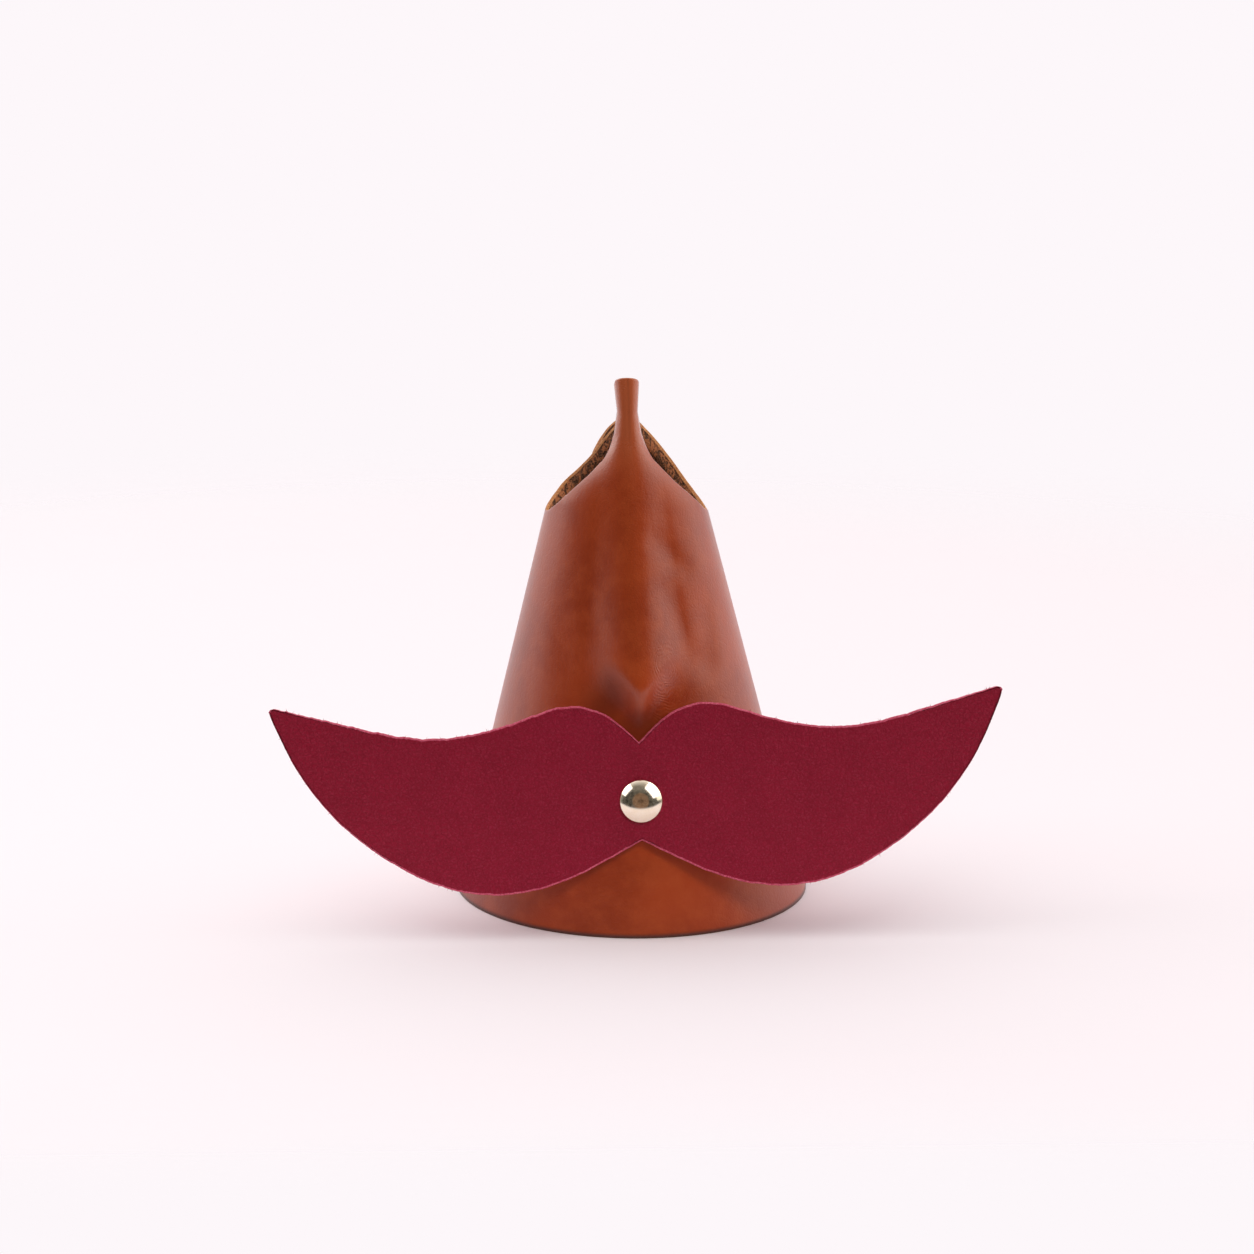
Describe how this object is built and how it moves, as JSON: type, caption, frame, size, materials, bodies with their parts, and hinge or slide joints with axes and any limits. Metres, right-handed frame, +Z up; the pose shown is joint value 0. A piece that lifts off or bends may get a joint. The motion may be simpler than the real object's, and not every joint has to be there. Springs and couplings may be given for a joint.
{
  "type": "eyeglasses stand",
  "caption": "Leather nose cone with a pivoting flat leather moustache that holds a pair of eyeglasses upright on a desk.",
  "frame": {"origin": "centre of the base circle, on the plane that the cone stands on", "axes": "+Z up, the cone leans 1.6 mm to -X at its notches, -Y the way the nose faces, +X to the right of a person who looks at the nose"},
  "size_m": [0.1346, 0.068, 0.0995],
  "materials": {
    "tan_leather": "vegetable-tanned leather, smooth semi-gloss grain side out, bare flesh side in",
    "burgundy_leather": "matte dyed leather, raw pink cut edge",
    "pale_gold_metal": "polished pale gold plating"
  },
  "bodies": {
    "stand": {"nose_cone": "tan_leather", "moustache_rivet_cap": "pale_gold_metal", "moustache_rivet_post": "pale_gold_metal", "seam_rivet_cap_1": "pale_gold_metal", "seam_rivet_post_1": "pale_gold_metal", "seam_rivet_cap_2": "pale_gold_metal", "seam_rivet_post_2": "pale_gold_metal", "seam_rivet_cap_3": "pale_gold_metal", "seam_rivet_post_3": "pale_gold_metal"},
    "moustache": {"moustache": "burgundy_leather"}
  },
  "joints": [
    {"name": "moustache_swing", "type": "hinge", "parent": "stand", "child": "moustache", "pos_m": [0, -0.0277, 0.02455], "axis": [0, -0.9696, 0.2447], "range_deg": [-7, 3]}
  ]
}
